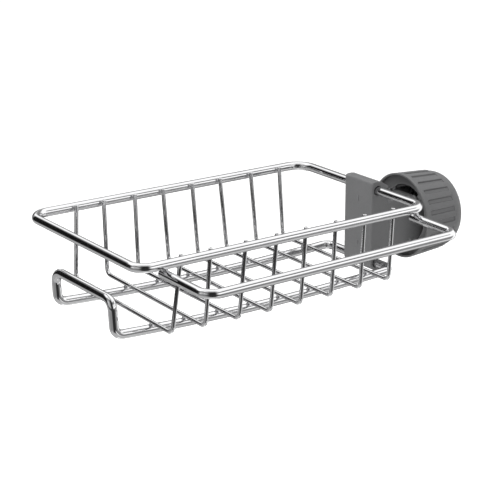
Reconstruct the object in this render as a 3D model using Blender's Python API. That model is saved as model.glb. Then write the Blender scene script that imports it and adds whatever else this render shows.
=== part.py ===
"""Sink caddy: a welded steel-wire basket that hangs from a plastic clamp on a vertical pipe.

The origin lies on the pipe's axis at the clamp's mid-height. +X runs from the basket to the knob,
-Y towards the towel rail and +Z up. Every size is in metres.
"""

import math

import bmesh
import bpy
from mathutils import Matrix, Vector

# Rods and wires
ROD_DIAMETER = 0.0065
WIRE_DIAMETER = 0.003
# Welded and seated pieces are separate solids, so this much is left open where they meet.
SEAT_GAP = 0.0003

# Rim, measured between the rod's centrelines
RIM_LENGTH = 0.240
RIM_WIDTH = 0.146
RIM_CORNER_RADIUS = 0.011
RIM_REAR_CORNER_RADIUS = 0.0145
RIM_CORNER_DROP = 0.0007

# Floor frame under the wires, with its left end bent up into a raised bar
FLOOR_DEPTH = 0.0561
FLOOR_BOW = 0.0034
FLOOR_FRAME_WIDTH = 0.076
FLOOR_CORNER_RADIUS = 0.007
RISER_HEIGHT = 0.0251
RISER_LEAN = 0.0015
RISER_REAR_RADIUS = 0.010
REAR_RAIL_RISE = 0.0014

# U-shaped cross wires, spread evenly between the two insets
WIRE_COUNT = 8
FIRST_WIRE_INSET = 0.0332
LAST_WIRE_INSET = 0.0248
# Each wire's rear top, rear bottom, front bottom and front top off even spacing, as shares of the pitch
WIRE_SHIFT_SHARES = (
    (0.080, -0.080, -0.115, 0.075),
    (-0.045, -0.080, -0.100, -0.025),
    (-0.035, -0.060, -0.040, 0.070),
    (-0.095, -0.035, -0.025, 0.055),
    (-0.105, -0.025, -0.035, 0.005),
    (-0.140, -0.015, 0.005, 0.005),
    (-0.050, 0.050, 0.010, -0.015),
    (-0.015, 0.020, 0.010, -0.020),
)
WIRE_LEAN = 0.0038
WIRE_BEND_RADIUS = 0.005
WIRE_END_DROP = 0.0005

# Towel rail under the front of the rim
TOWEL_REACH = 0.049
TOWEL_LEFT_INSET = 0.0198
TOWEL_RIGHT_INSET = 0.0083
TOWEL_CORNER_RADIUS = 0.010
TOWEL_TAIL = 0.004
TOWEL_LEFT_DROP = 0.0007
TOWEL_RIGHT_DROP = 0.0004
TOWEL_RIGHT_SETBACK = 0.0047

# Where the basket hangs from the clamp
ROD_TO_PIPE = 0.022
CLAMP_DROP = 0.029
BASKET_SIDE_OFFSET = 0.005

# Bracket: hook plate and two threaded arms around the pipe
PIPE_DIAMETER = 0.024
BRACKET_WIDTH = 0.032
BRACKET_EDGE_RADIUS = 0.001
SLOT_WIDTH = 0.025
SLOT_CORNER_RADIUS = 0.002
HOOK_WALL = 0.00245
HOOK_TOP_THICKNESS = 0.00345
HOOK_BOTTOM_THICKNESS = 0.00225
HOOK_TOP_RADIUS = 0.0025
HOOK_CREST_WIDTH = 0.002
HOOK_CREST_RADIUS = 0.005
UPPER_HOOK_REACH = 0.010
LOWER_HOOK_REACH = 0.0055
HOOK_TIP_RADIUS = 0.0006
BEAK_TOP_RISE = 0.0020
BEAK_DROP = 0.0011
BEAK_ANGLE = math.radians(25)
ARM_REACH = 0.033
NIB_LENGTH = 0.004
NIB_WIDTH = 0.0014
NIB_HEIGHT = 0.0004
NIB_SPREAD = 0.035
NIB_CENTRE_RISE = 0.0035
NECK_DIAMETER = 0.0486

# Thread between the arms and the knob
THREAD_DIAMETER = 0.046
THREAD_PITCH = 0.005
THREAD_DEPTH = 0.002
THREAD_CREST = 0.0012
THREAD_FLANK = 0.001
THREAD_START = 0.0055
THREAD_CHAMFER = 0.001
THREAD_CLEARANCE = 0.0004

# Jaw pad at the bottom of the slot
JAW_PAD_THICKNESS = 0.002
JAW_PAD_HEIGHT = 0.034
JAW_RADIUS = 0.016

# Knob
KNOB_MOUTH_DIAMETER = 0.0654
KNOB_BAND_END_DIAMETER = 0.0614
KNOB_BAND_LENGTH = 0.0297
KNOB_CAP_STEP = 0.0008
KNOB_CAP_LENGTH = 0.0102
KNOB_CAP_ROUNDING = 0.0054
KNOB_PIPE_GAP = 0.0009
KNOB_END_WALL = 0.005
KNOB_LIP_WALL = 0.0015
KNOB_LIP_DEPTH = 0.0034
KNOB_LIP_RADIUS = 0.0005
FUNNEL_DEPTH = 0.003
FUNNEL_CLEARANCE = 0.0015
GROOVE_COUNT = 24
GROOVE_INSET = 0.0042
GROOVE_WIDTH = 0.0036
GROOVE_DEPTH = 0.001
GROOVE_CORNER_RADIUS = 0.0014

# Pressure plate and pad, which travel with the knob without turning
PRESSURE_PAD_THICKNESS = 0.0025
PRESSURE_PLATE_THICKNESS = 0.005
PRESSURE_PLATE_HEIGHT = 0.034
PLATE_CORNER_RADIUS = 0.002
STEM_DIAMETER = 0.014

# Screw and washer that hold the pressure plate to the knob
SCREW_DIAMETER = 0.004
SCREW_LENGTH = 0.014
SCREW_HEAD_DIAMETER = 0.0076
SCREW_HEAD_HEIGHT = 0.0016
SCREW_CROSS_LENGTH = 0.0042
SCREW_CROSS_WIDTH = 0.001
SCREW_CROSS_DEPTH = 0.0009
SCREW_EDGE_RADIUS = 0.0005
WASHER_DIAMETER = 0.011
WASHER_THICKNESS = 0.0008
RECESS_DIAMETER = 0.0124

# Shared by every cut that runs out of its piece
OVERRUN = 0.001
MERGE_DISTANCE = 0.000001

# Smoothness
ROD_BEVEL_RESOLUTION = 4
WIRE_BEVEL_RESOLUTION = 3
CORNER_STEPS = 6
EDGE_STEPS = 3
BOW_STEPS = 8
TURNED_STEPS = 56
SMALL_TURNED_STEPS = 24
THREAD_STEPS = 36
CAP_STEPS = 8
JAW_STEPS = 10

# Worked out from the sizes above
ROD_RADIUS = ROD_DIAMETER / 2
WIRE_RADIUS = WIRE_DIAMETER / 2
PIPE_RADIUS = PIPE_DIAMETER / 2
RIM_Z = CLAMP_DROP
FLOOR_Z = RIM_Z - FLOOR_DEPTH
BASKET_RIGHT = -ROD_TO_PIPE
BASKET_LEFT = BASKET_RIGHT - RIM_LENGTH
RIM_FRONT = BASKET_SIDE_OFFSET - RIM_WIDTH / 2
RIM_REAR = BASKET_SIDE_OFFSET + RIM_WIDTH / 2
FLOOR_FRONT = BASKET_SIDE_OFFSET - FLOOR_FRAME_WIDTH / 2
FLOOR_REAR = BASKET_SIDE_OFFSET + FLOOR_FRAME_WIDTH / 2
HOOK_BORE = ROD_RADIUS + SEAT_GAP
PLATE_FACE = BASKET_RIGHT - HOOK_BORE - HOOK_WALL
HOOK_TOP = RIM_Z + HOOK_BORE + HOOK_TOP_THICKNESS
HOOK_BOTTOM = FLOOR_Z - HOOK_BORE - HOOK_BOTTOM_THICKNESS
HOOK_BOTTOM_RADIUS = HOOK_BORE + HOOK_WALL
UPPER_TIP = BASKET_RIGHT + UPPER_HOOK_REACH
LOWER_TIP = BASKET_RIGHT + LOWER_HOOK_REACH
JAW_BACK = -PIPE_RADIUS - JAW_PAD_THICKNESS
SLOT_BOTTOM = JAW_BACK - SEAT_GAP
THREAD_RADIUS = THREAD_DIAMETER / 2
NECK_RADIUS = NECK_DIAMETER / 2
KNOB_MOUTH = PIPE_RADIUS + KNOB_PIPE_GAP
KNOB_BAND_END = KNOB_MOUTH + KNOB_BAND_LENGTH
KNOB_END = KNOB_BAND_END + KNOB_CAP_LENGTH
KNOB_FLOOR = KNOB_END - KNOB_END_WALL
KNOB_MOUTH_RADIUS = KNOB_MOUTH_DIAMETER / 2
KNOB_BAND_END_RADIUS = KNOB_BAND_END_DIAMETER / 2
PAD_BACK = PIPE_RADIUS + PRESSURE_PAD_THICKNESS
PLATE_FRONT = PAD_BACK + SEAT_GAP
PLATE_BACK = PLATE_FRONT + PRESSURE_PLATE_THICKNESS
PLATE_WIDTH = SLOT_WIDTH - 2 * SEAT_GAP
STEM_END = KNOB_FLOOR - SEAT_GAP
HEAD_BOTTOM = KNOB_END - SCREW_HEAD_HEIGHT
WASHER_BACK = HEAD_BOTTOM - SEAT_GAP
RECESS_FLOOR = WASHER_BACK - WASHER_THICKNESS - SEAT_GAP

STEEL = ((0.78, 0.78, 0.79), 0.12, 1.0)
GREY_PLASTIC = ((0.155, 0.157, 0.160), 0.5, 0.0)
BLACK_RUBBER = ((0.02, 0.02, 0.021), 0.75, 0.0)


def clear_scene():
    for obj in list(bpy.data.objects):
        bpy.data.objects.remove(obj, do_unlink=True)


def make_material(name, finish):
    colour, roughness, metallic = finish
    material = bpy.data.materials.new(name)
    material.use_nodes = True
    shader = material.node_tree.nodes["Principled BSDF"]
    shader.inputs["Base Color"].default_value = (*colour, 1)
    shader.inputs["Roughness"].default_value = roughness
    shader.inputs["Metallic"].default_value = metallic
    material.diffuse_color = (*colour, 1)
    return material


def carrier(name, location):
    """An empty that carries the pieces of one moving group."""
    empty = bpy.data.objects.new(name, None)
    empty.location = location
    bpy.context.scene.collection.objects.link(empty)
    return empty


def carry(obj, parent):
    """Parents a piece whose data is in the part's frame, and puts its origin at its carrier's."""
    obj.data.transform(Matrix.Translation(-parent.location))
    obj.parent = parent


def rounded_path(corners, closed=False):
    """Straight runs joined by arcs, from (point, radius) pairs, and a radius of 0 keeps the point."""
    points = []
    count = len(corners)
    for index, (corner, radius) in enumerate(corners):
        corner = Vector(corner)
        bends = closed or 0 < index < count - 1
        if radius == 0 or not bends:
            points.append(corner)
            continue
        before = (Vector(corners[index - 1][0]) - corner).normalized()
        after = (Vector(corners[(index + 1) % count][0]) - corner).normalized()
        half_angle = before.angle(after) / 2
        centre = corner + (before + after).normalized() * (radius / math.sin(half_angle))
        setback = radius / math.tan(half_angle)
        first = corner + before * setback - centre
        last = corner + after * setback - centre
        sweep = math.pi - 2 * half_angle
        for step in range(CORNER_STEPS + 1):
            share = step / CORNER_STEPS
            near = math.sin((1 - share) * sweep) / math.sin(sweep)
            far = math.sin(share * sweep) / math.sin(sweep)
            points.append(centre + first * near + last * far)
    return points


def rounded_outline(corners):
    """The same for a closed outline in a plane, as pairs of numbers."""
    lifted = [((a, b, 0), radius) for (a, b), radius in corners]
    return [(point.x, point.y) for point in rounded_path(lifted, closed=True)]


def arc(centre, radius, first_angle, last_angle, steps):
    turns = [first_angle + (last_angle - first_angle) * step / steps for step in range(steps + 1)]
    return [(centre[0] + radius * math.cos(turn), centre[1] + radius * math.sin(turn)) for turn in turns]


def link_mesh(name, bm):
    bmesh.ops.recalc_face_normals(bm, faces=bm.faces)
    mesh = bpy.data.meshes.new(name)
    bm.to_mesh(mesh)
    bm.free()
    obj = bpy.data.objects.new(name, mesh)
    bpy.context.scene.collection.objects.link(obj)
    return obj


def tube(name, points, diameter, resolution, closed=False):
    """A round rod along the points."""
    curve = bpy.data.curves.new(name, "CURVE")
    curve.dimensions = "3D"
    curve.bevel_depth = diameter / 2
    curve.bevel_resolution = resolution
    curve.use_fill_caps = not closed
    spline = curve.splines.new("POLY")
    spline.points.add(len(points) - 1)
    for spot, point in zip(spline.points, points):
        spot.co = (*point, 1)
    spline.use_cyclic_u = closed
    spline.use_smooth = True
    obj = bpy.data.objects.new(name, curve)
    bpy.context.scene.collection.objects.link(obj)
    return obj


def prism(name, outline, low, high, axis):
    """An outline in the plane across an axis, drawn out between two places along that axis."""
    placed = {
        "X": lambda a, b, along: Vector((along, a, b)),
        "Y": lambda a, b, along: Vector((a, along, b)),
        "Z": lambda a, b, along: Vector((a, b, along)),
    }[axis]
    bm = bmesh.new()
    base = bm.faces.new([bm.verts.new(placed(a, b, low)) for a, b in outline])
    drawn = bmesh.ops.extrude_face_region(bm, geom=[base])
    moved = [item for item in drawn["geom"] if isinstance(item, bmesh.types.BMVert)]
    bmesh.ops.translate(bm, verts=moved, vec=placed(0, 0, high - low))
    return link_mesh(name, bm)


def turned(name, profile, steps, closed=False):
    """A profile of (x, radius) pairs turned about the X axis, which closed ones don't reach."""
    bm = bmesh.new()
    spots = [bm.verts.new((x, 0, radius)) for x, radius in profile]
    ends = spots[1:] + spots[:1] if closed else spots[1:]
    edges = [bm.edges.new(pair) for pair in zip(spots, ends)]
    bmesh.ops.spin(
        bm,
        geom=spots + edges,
        axis=(1, 0, 0),
        cent=(0, 0, 0),
        angle=2 * math.pi,
        steps=steps,
        use_merge=True,
    )
    bmesh.ops.remove_doubles(bm, verts=bm.verts, dist=MERGE_DISTANCE)
    return link_mesh(name, bm)


def threaded_bar(name, low, high, root_radius, crest_radius, crest_width):
    """A bar along X with one right-hand thread, cut flat at both ends.

    The crest's centreline crosses the XZ plane at whole pitches from the origin, so two bars made
    with this function are in step.
    """
    half_crest = crest_width / 2
    profile = (
        (-half_crest - THREAD_FLANK, root_radius),
        (-half_crest, crest_radius),
        (half_crest, crest_radius),
        (half_crest + THREAD_FLANK, root_radius),
    )
    first_turn = math.floor(low / THREAD_PITCH) - 2
    last_turn = math.ceil(high / THREAD_PITCH) + 2
    rows = (last_turn - first_turn) * THREAD_STEPS + 1
    bm = bmesh.new()
    grid = []
    for row in range(rows):
        turn = first_turn + row / THREAD_STEPS
        angle = 2 * math.pi * row / THREAD_STEPS
        grid.append([
            bm.verts.new((
                turn * THREAD_PITCH + offset,
                -radius * math.sin(angle),
                radius * math.cos(angle),
            ))
            for offset, radius in profile
        ])
    last = len(profile) - 1
    for row in range(rows - 1):
        for column in range(last):
            bm.faces.new((
                grid[row][column],
                grid[row][column + 1],
                grid[row + 1][column + 1],
                grid[row + 1][column],
            ))
    for row in range(rows - 1 - THREAD_STEPS):
        ahead = row + THREAD_STEPS
        bm.faces.new((grid[row][last], grid[ahead][0], grid[ahead + 1][0], grid[row + 1][last]))
    start = [grid[row][0] for row in range(THREAD_STEPS + 1)] + grid[0][:0:-1]
    end = [grid[rows - 1 - THREAD_STEPS + row][last] for row in range(THREAD_STEPS + 1)]
    end += grid[-1][-2::-1]
    for rim, turn in ((start, first_turn), (end, last_turn)):
        hub = bm.verts.new((turn * THREAD_PITCH, 0, 0))
        for one, other in zip(rim, rim[1:] + rim[:1]):
            bm.faces.new((hub, one, other))
    bar = link_mesh(name, bm)
    reach = crest_radius + OVERRUN
    square = [(-reach, -reach), (reach, -reach), (reach, reach), (-reach, reach)]
    combine(bar, prism(name + "_ends", square, low, high, "X"), "INTERSECT")
    return bar


def combine(obj, tool, operation):
    """Joins, cuts or intersects a solid with another, which is used up."""
    modifier = obj.modifiers.new(tool.name, "BOOLEAN")
    modifier.operation = operation
    modifier.solver = "EXACT"
    modifier.object = tool
    bpy.context.view_layer.update()
    evaluated = obj.evaluated_get(bpy.context.evaluated_depsgraph_get())
    result = bpy.data.meshes.new_from_object(evaluated)
    obj.modifiers.clear()
    obj.data = result
    bpy.data.objects.remove(tool, do_unlink=True)


def finish(obj, finish_values):
    """Gives a piece its material, and smooth shading with its edges kept."""
    obj.data.materials.clear()
    obj.data.materials.append(make_material(obj.name + "_finish", finish_values))
    if obj.type == "MESH":
        obj.data.shade_smooth()
        obj.data.set_sharp_from_angle(angle=math.radians(35))


def floor_height(x, y):
    """The floor frame's centreline, which bows down between its ends and rises at its rear left."""
    share = (x - BASKET_LEFT) / RIM_LENGTH
    rear_share = (y - FLOOR_FRONT) / FLOOR_FRAME_WIDTH
    return FLOOR_Z - FLOOR_BOW * 4 * share * (1 - share) + REAR_RAIL_RISE * (1 - share) * rear_share


def rim_front_height(x):
    """The front of the rim's centreline, which falls a little towards its left corner."""
    return RIM_Z - RIM_CORNER_DROP * (BASKET_RIGHT - x) / RIM_LENGTH


def make_top_rim():
    corners = [
        ((BASKET_LEFT, RIM_FRONT, rim_front_height(BASKET_LEFT)), RIM_CORNER_RADIUS),
        ((BASKET_RIGHT, RIM_FRONT, RIM_Z), RIM_CORNER_RADIUS),
        ((BASKET_RIGHT, RIM_REAR, RIM_Z), RIM_REAR_CORNER_RADIUS),
        ((BASKET_LEFT, RIM_REAR, RIM_Z), RIM_REAR_CORNER_RADIUS),
    ]
    return tube("top_rim", rounded_path(corners, True), ROD_DIAMETER, ROD_BEVEL_RESOLUTION, True)


def make_bottom_frame():
    """One closed rod: two bowed rails, a right end under the rim's, and legs up to the raised bar."""
    foot_x = BASKET_LEFT + RISER_LEAN
    bar_z = FLOOR_Z + RISER_HEIGHT
    bowed = [
        foot_x + (BASKET_RIGHT - foot_x) * step / BOW_STEPS
        for step in range(1, BOW_STEPS)
    ]
    front = [((x, FLOOR_FRONT, floor_height(x, FLOOR_FRONT)), 0) for x in bowed]
    rear = [((x, FLOOR_REAR, floor_height(x, FLOOR_REAR)), 0) for x in reversed(bowed)]
    corners = [
        ((BASKET_LEFT, FLOOR_REAR, bar_z), RISER_REAR_RADIUS),
        ((BASKET_LEFT, FLOOR_FRONT, bar_z), FLOOR_CORNER_RADIUS),
        ((foot_x, FLOOR_FRONT, floor_height(foot_x, FLOOR_FRONT)), FLOOR_CORNER_RADIUS),
        *front,
        ((BASKET_RIGHT, FLOOR_FRONT, FLOOR_Z), FLOOR_CORNER_RADIUS),
        ((BASKET_RIGHT, FLOOR_REAR, FLOOR_Z), FLOOR_CORNER_RADIUS),
        *rear,
        ((foot_x, FLOOR_REAR, floor_height(foot_x, FLOOR_REAR)), FLOOR_CORNER_RADIUS),
    ]
    return tube("bottom_frame", rounded_path(corners, True), ROD_DIAMETER, ROD_BEVEL_RESOLUTION, True)


def make_towel_rail():
    left = BASKET_LEFT + TOWEL_LEFT_INSET
    right = BASKET_RIGHT - TOWEL_RIGHT_INSET
    end = RIM_FRONT + TOWEL_TAIL
    front = RIM_FRONT - TOWEL_REACH
    below = ROD_DIAMETER + SEAT_GAP
    left_height = rim_front_height(left) - below
    right_height = rim_front_height(right) - below
    corners = [
        ((left, end, left_height), 0),
        ((left, RIM_FRONT, left_height), 0),
        ((left, front, left_height - TOWEL_LEFT_DROP), TOWEL_CORNER_RADIUS),
        ((right, front + TOWEL_RIGHT_SETBACK, right_height - TOWEL_RIGHT_DROP), TOWEL_CORNER_RADIUS),
        ((right, RIM_FRONT, right_height), 0),
        ((right, end, right_height), 0),
    ]
    return tube("towel_rail", rounded_path(corners), ROD_DIAMETER, ROD_BEVEL_RESOLUTION)


def leg(at_rim, foot_x, foot_y, above):
    """A wire's leg from its end above the rim to its corner on the floor frame, in one line."""
    foot = Vector((foot_x, foot_y, floor_height(foot_x, foot_y) + ROD_RADIUS + SEAT_GAP + WIRE_RADIUS))
    end = at_rim + (at_rim - foot) * (above / (at_rim.z - foot.z))
    return end, foot


def make_cross_wires():
    """U-shaped wires, whose ends lie inside the rim and whose bottoms lie on the floor frame."""
    pitch = (RIM_LENGTH - FIRST_WIRE_INSET - LAST_WIRE_INSET) / (WIRE_COUNT - 1)
    inset = ROD_RADIUS + SEAT_GAP + WIRE_RADIUS
    above = ROD_RADIUS - WIRE_END_DROP
    wires = []
    for number in range(WIRE_COUNT):
        even_x = BASKET_LEFT + FIRST_WIRE_INSET + number * pitch
        shares = WIRE_SHIFT_SHARES[number % len(WIRE_SHIFT_SHARES)]
        xs = [even_x + share * pitch for share in shares]
        rear_at_rim = Vector((xs[0], RIM_REAR - inset, RIM_Z))
        front_at_rim = Vector((xs[3], RIM_FRONT + inset, rim_front_height(xs[3])))
        rear = leg(rear_at_rim, xs[1], rear_at_rim.y - WIRE_LEAN, above)
        front = leg(front_at_rim, xs[2], front_at_rim.y + WIRE_LEAN, above)
        corners = [(rear[0], 0), (rear[1], WIRE_BEND_RADIUS), (front[1], WIRE_BEND_RADIUS), (front[0], 0)]
        name = f"cross_wire_{number + 1}"
        wires.append(tube(name, rounded_path(corners), WIRE_DIAMETER, WIRE_BEVEL_RESOLUTION))
    return wires


def bracket_block():
    """The hook plate's outline from the side, wider than the bracket, before its slots are cut."""
    waist = THREAD_RADIUS / 2
    crest_x = BASKET_RIGHT + HOOK_CREST_WIDTH
    outline = rounded_outline([
        ((PLATE_FACE, HOOK_BOTTOM), HOOK_BOTTOM_RADIUS),
        ((LOWER_TIP, HOOK_BOTTOM), HOOK_TIP_RADIUS),
        ((LOWER_TIP, -waist), 0),
        ((UPPER_TIP, waist), 0),
        ((UPPER_TIP, RIM_Z + BEAK_TOP_RISE), HOOK_TIP_RADIUS),
        ((crest_x, HOOK_TOP), HOOK_CREST_RADIUS),
        ((PLATE_FACE, HOOK_TOP), HOOK_TOP_RADIUS),
    ])
    half_width = BRACKET_WIDTH / 2 + OVERRUN
    return prism("bracket", outline, -half_width, half_width, "Y")


def upper_channel():
    """The space for the rim's rod: round behind, open towards the pipe under the hook's beak."""
    centre = (BASKET_RIGHT, RIM_Z)
    mouth_x = ARM_REACH + OVERRUN
    around = arc(centre, HOOK_BORE, BEAK_ANGLE, 3 * math.pi / 2, 2 * CORNER_STEPS)
    beak_z = around[0][1] - BEAK_DROP
    outline = [*around, (UPPER_TIP, RIM_Z - HOOK_BORE), (mouth_x, RIM_Z - HOOK_BORE)]
    outline += [(mouth_x, beak_z), (UPPER_TIP + OVERRUN, beak_z)]
    half_width = BRACKET_WIDTH / 2 + 2 * OVERRUN
    return prism("upper_channel", outline, -half_width, half_width, "Y")


def lower_channel():
    """The space for the floor frame's end rod, open towards the pipe."""
    centre = (BASKET_RIGHT, FLOOR_Z)
    mouth_x = ARM_REACH + OVERRUN
    around = arc(centre, HOOK_BORE, math.pi / 2, 3 * math.pi / 2, 2 * CORNER_STEPS)
    outline = [*around, (mouth_x, FLOOR_Z - HOOK_BORE), (mouth_x, FLOOR_Z + HOOK_BORE)]
    half_width = BRACKET_WIDTH / 2 + 2 * OVERRUN
    return prism("lower_channel", outline, -half_width, half_width, "Y")


def make_bracket():
    bracket = bracket_block()
    neck_start = (PLATE_FACE + SLOT_BOTTOM) / 2
    neck = [(neck_start, 0), (neck_start, NECK_RADIUS), (THREAD_START, NECK_RADIUS), (THREAD_START, 0)]
    combine(bracket, turned("neck", neck, TURNED_STEPS), "UNION")
    thread = threaded_bar(
        "thread",
        THREAD_START - OVERRUN,
        ARM_REACH,
        THREAD_RADIUS - THREAD_DEPTH,
        THREAD_RADIUS,
        THREAD_CREST,
    )
    lead_in = [
        (0, 0),
        (0, THREAD_RADIUS + OVERRUN),
        (ARM_REACH - THREAD_CHAMFER - OVERRUN, THREAD_RADIUS + OVERRUN),
        (ARM_REACH + OVERRUN, THREAD_RADIUS - THREAD_CHAMFER - OVERRUN),
        (ARM_REACH + OVERRUN, 0),
    ]
    combine(thread, turned("lead_in", lead_in, TURNED_STEPS), "INTERSECT")
    combine(bracket, thread, "UNION")
    half_width = BRACKET_WIDTH / 2
    plan = rounded_outline([
        ((PLATE_FACE, -half_width), BRACKET_EDGE_RADIUS),
        ((ARM_REACH + OVERRUN, -half_width), 0),
        ((ARM_REACH + OVERRUN, half_width), 0),
        ((PLATE_FACE, half_width), BRACKET_EDGE_RADIUS),
    ])
    low = HOOK_BOTTOM - OVERRUN
    high = HOOK_TOP + OVERRUN
    combine(bracket, prism("plan", plan, low, high, "Z"), "INTERSECT")
    half_slot = SLOT_WIDTH / 2
    slot = rounded_outline([
        ((SLOT_BOTTOM, -half_slot), SLOT_CORNER_RADIUS),
        ((ARM_REACH + 2 * OVERRUN, -half_slot), 0),
        ((ARM_REACH + 2 * OVERRUN, half_slot), 0),
        ((SLOT_BOTTOM, half_slot), SLOT_CORNER_RADIUS),
    ])
    reach = NECK_RADIUS + SEAT_GAP
    combine(bracket, prism("pipe_slot", slot, -reach, reach, "Z"), "DIFFERENCE")
    combine(bracket, upper_channel(), "DIFFERENCE")
    combine(bracket, lower_channel(), "DIFFERENCE")
    for number, side in enumerate((1, -1)):
        height = NIB_CENTRE_RISE + side * NIB_SPREAD / 2
        combine(bracket, make_nib(f"nib_{number + 1}", height), "UNION")
    finish(bracket, GREY_PLASTIC)
    return bracket


def make_nib(name, height):
    """A small upright mark standing on the plate's outer face."""
    half_width = NIB_WIDTH / 2
    outline = rounded_outline([
        ((-half_width, height - NIB_LENGTH / 2), half_width / 2),
        ((half_width, height - NIB_LENGTH / 2), half_width / 2),
        ((half_width, height + NIB_LENGTH / 2), half_width / 2),
        ((-half_width, height + NIB_LENGTH / 2), half_width / 2),
    ])
    return prism(name, outline, PLATE_FACE - NIB_HEIGHT, PLATE_FACE + OVERRUN, "X")


def make_jaw_pad():
    """A soft block in the bottom of the slot, hollowed for the pipe."""
    half_width = SLOT_WIDTH / 2 - SEAT_GAP
    centre_x = JAW_RADIUS - PIPE_RADIUS
    reach = math.asin(half_width / JAW_RADIUS)
    hollow = arc((centre_x, 0), JAW_RADIUS, math.pi - reach, math.pi + reach, JAW_STEPS)
    outline = rounded_outline([
        ((JAW_BACK, -half_width), SLOT_CORNER_RADIUS),
        *[(point, 0) for point in reversed(hollow)],
        ((JAW_BACK, half_width), SLOT_CORNER_RADIUS),
    ])
    half_height = JAW_PAD_HEIGHT / 2
    pad = prism("jaw_pad", outline, -half_height, half_height, "Z")
    finish(pad, BLACK_RUBBER)
    return pad


def band_radius(x):
    """The knob's grooved band, which tapers from its mouth to its cap."""
    share = (x - KNOB_MOUTH) / KNOB_BAND_LENGTH
    return KNOB_MOUTH_RADIUS + (KNOB_BAND_END_RADIUS - KNOB_MOUTH_RADIUS) * share


def knob_grooves():
    """Finger grooves around the knob, open at the cap, one of them facing the towel rail's side."""
    start = KNOB_MOUTH + GROOVE_INSET
    end = KNOB_BAND_END + OVERRUN
    half_width = GROOVE_WIDTH / 2
    outline = rounded_outline([
        ((start, -half_width), GROOVE_CORNER_RADIUS),
        ((end, -half_width), 0),
        ((end, half_width), 0),
        ((start, half_width), GROOVE_CORNER_RADIUS),
    ])
    bm = bmesh.new()
    for number in range(GROOVE_COUNT):
        turn = Matrix.Rotation(math.pi / 2 + 2 * math.pi * number / GROOVE_COUNT, 3, "X")
        rings = [
            [bm.verts.new(turn @ Vector((x, across, band_radius(x) + rise))) for x, across in outline]
            for rise in (-GROOVE_DEPTH, OVERRUN)
        ]
        for ring in rings:
            bm.faces.new(ring)
        for index in range(len(outline)):
            ahead = (index + 1) % len(outline)
            bm.faces.new((rings[0][index], rings[0][ahead], rings[1][ahead], rings[1][index]))
    return link_mesh("grooves", bm)


def make_knob():
    """A cap with an open mouth, an inside thread, and a screw hole in its closed end."""
    hole_radius = SCREW_DIAMETER / 2 + SEAT_GAP
    lip_radius = KNOB_MOUTH_RADIUS - KNOB_LIP_WALL
    lip_end = KNOB_MOUTH + KNOB_LIP_DEPTH
    thread_start = lip_end + FUNNEL_DEPTH
    body = [
        (thread_start, hole_radius),
        (thread_start, THREAD_RADIUS + FUNNEL_CLEARANCE),
        (lip_end, lip_radius),
        (KNOB_MOUTH, lip_radius),
    ]
    body += arc(
        (KNOB_MOUTH + KNOB_LIP_RADIUS, KNOB_MOUTH_RADIUS - KNOB_LIP_RADIUS),
        KNOB_LIP_RADIUS,
        math.pi,
        math.pi / 2,
        EDGE_STEPS,
    )
    body.append((KNOB_BAND_END, KNOB_BAND_END_RADIUS))
    cap_radius = KNOB_BAND_END_RADIUS - KNOB_CAP_STEP
    for step in range(CAP_STEPS + 1):
        turn = math.pi / 2 * step / CAP_STEPS
        drop = KNOB_CAP_ROUNDING * (1 - math.cos(turn))
        body.append((KNOB_BAND_END + KNOB_CAP_LENGTH * math.sin(turn), cap_radius - drop))
    body += [
        (KNOB_END, RECESS_DIAMETER / 2),
        (RECESS_FLOOR, RECESS_DIAMETER / 2),
        (RECESS_FLOOR, hole_radius),
    ]
    knob = turned("knob", body, TURNED_STEPS, closed=True)
    combine(knob, knob_grooves(), "DIFFERENCE")
    cavity = threaded_bar(
        "knob_thread",
        thread_start - OVERRUN,
        KNOB_FLOOR,
        THREAD_RADIUS - THREAD_DEPTH + THREAD_CLEARANCE,
        THREAD_RADIUS + THREAD_CLEARANCE,
        THREAD_CREST + 2 * THREAD_CLEARANCE,
    )
    combine(knob, cavity, "DIFFERENCE")
    finish(knob, GREY_PLASTIC)
    return knob


def plate_outline(half_width, half_height, radius):
    return rounded_outline([
        ((-half_width, -half_height), radius),
        ((half_width, -half_height), radius),
        ((half_width, half_height), radius),
        ((-half_width, half_height), radius),
    ])


def make_pressure_plate():
    """A plate that slides between the arms, with a stem that the knob turns on."""
    outline = plate_outline(PLATE_WIDTH / 2, PRESSURE_PLATE_HEIGHT / 2, PLATE_CORNER_RADIUS)
    plate = prism("pressure_plate", outline, PLATE_FRONT, PLATE_BACK, "X")
    stem_radius = STEM_DIAMETER / 2
    stem = [
        (PLATE_BACK - OVERRUN, 0),
        (PLATE_BACK - OVERRUN, stem_radius),
        (STEM_END, stem_radius),
        (STEM_END, 0),
    ]
    combine(plate, turned("stem", stem, SMALL_TURNED_STEPS), "UNION")
    pilot_radius = SCREW_DIAMETER / 2 + SEAT_GAP
    pilot = [
        (HEAD_BOTTOM - SCREW_LENGTH - SEAT_GAP, 0),
        (HEAD_BOTTOM - SCREW_LENGTH - SEAT_GAP, pilot_radius),
        (STEM_END + OVERRUN, pilot_radius),
        (STEM_END + OVERRUN, 0),
    ]
    combine(plate, turned("pilot", pilot, SMALL_TURNED_STEPS), "DIFFERENCE")
    finish(plate, GREY_PLASTIC)
    return plate


def make_pressure_pad():
    outline = plate_outline(PLATE_WIDTH / 2, PRESSURE_PLATE_HEIGHT / 2, PLATE_CORNER_RADIUS)
    pad = prism("pressure_pad", outline, PIPE_RADIUS, PAD_BACK, "X")
    finish(pad, BLACK_RUBBER)
    return pad


def make_retaining_washer():
    hole_radius = SCREW_DIAMETER / 2 + SEAT_GAP
    front = WASHER_BACK - WASHER_THICKNESS
    ring = [
        (front, hole_radius),
        (front, WASHER_DIAMETER / 2),
        (WASHER_BACK, WASHER_DIAMETER / 2),
        (WASHER_BACK, hole_radius),
    ]
    washer = turned("retaining_washer", ring, SMALL_TURNED_STEPS, closed=True)
    finish(washer, STEEL)
    return washer


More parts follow.
